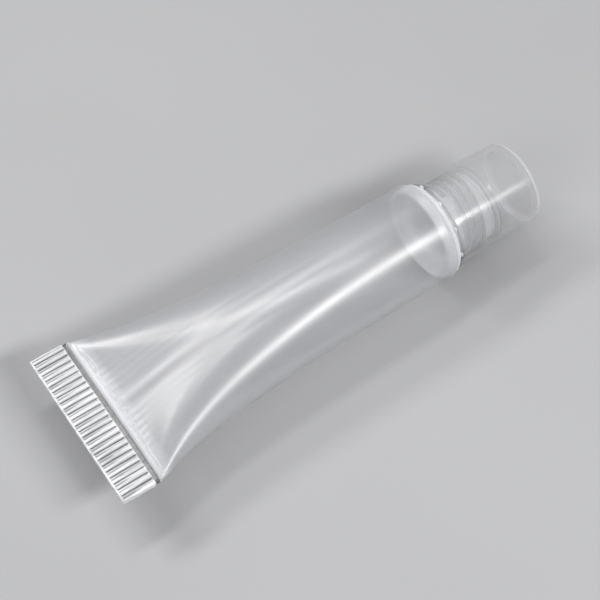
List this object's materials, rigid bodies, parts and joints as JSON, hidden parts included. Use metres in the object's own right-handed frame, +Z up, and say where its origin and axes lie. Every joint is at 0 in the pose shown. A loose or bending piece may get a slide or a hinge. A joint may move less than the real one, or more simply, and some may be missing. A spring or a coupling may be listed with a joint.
{
  "type": "lip gloss tube",
  "caption": "Soft squeeze tube lying on its side, with a ribbed flat weld at the tail, a moulded threaded head with a metering plug, and a clear screw cap that turns off.",
  "frame": {"origin": "middle of the footprint, on the surface that the tube lies on", "axes": "+X along the tube from the flat tail to the cap, +Y across the flat tail, +Z up"},
  "size_m": [0.0776, 0.0266, 0.0158],
  "materials": {
    "frosted_sleeve": "satin, frosted natural polyethylene",
    "frosted_head": "satin, natural polyethylene",
    "plug_plastic": "satin, natural polyethylene",
    "clear_disc": "clear, smooth",
    "clear_cap": "clear, smooth, polished"
  },
  "bodies": {
    "tube": {"tube_sleeve": "frosted_sleeve", "tube_head": "frosted_head", "orifice_plug": "plug_plastic"},
    "seal": {"seal_disc": "clear_disc"},
    "cap": {"screw_cap": "clear_cap"}
  },
  "joints": [
    {"name": "cap_lift", "type": "slide", "parent": "tube", "child": "seal", "axis": [1, 0, 0], "range_m": [0, 0.0091]},
    {"name": "cap_turn", "type": "hinge", "parent": "seal", "child": "cap", "pos_m": [0.03, 0, 0.00785], "axis": [1, 0, 0], "range_deg": [0, 1261]}
  ],
  "couplings": [
    {"joint": "cap_turn", "follows": "cap_lift", "rad_per_m": 2416.6}
  ]
}
